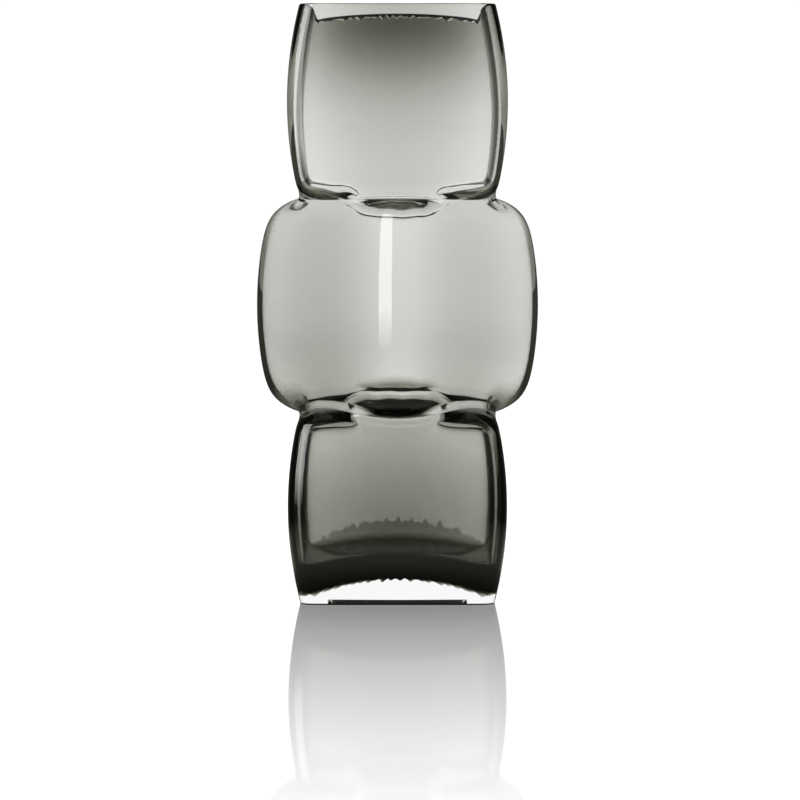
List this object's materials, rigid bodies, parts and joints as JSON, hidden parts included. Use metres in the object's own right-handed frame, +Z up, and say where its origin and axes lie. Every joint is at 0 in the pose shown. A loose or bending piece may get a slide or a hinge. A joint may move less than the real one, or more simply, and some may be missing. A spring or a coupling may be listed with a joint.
{
  "type": "vase",
  "caption": "Tall cased glass vase of stacked bulging square tiers with the middle one turned, smoke glass inside clear, on a thick clear foot.",
  "frame": {"origin": "centre of the underside, on the plane that the vase rests on", "axes": "+Z up along the vase's axis towards the rim; X and Y are square to the flat sides of the lower and upper tiers, and -Y is the front"},
  "size_m": [0.1588, 0.1588, 0.33],
  "materials": {
    "clear_glass": "clear polished glass",
    "smoke_glass": "smoke-grey polished glass"
  },
  "bodies": {
    "root": {"clear_casing": "clear_glass", "smoke_liner": "smoke_glass"}
  },
  "joints": []
}
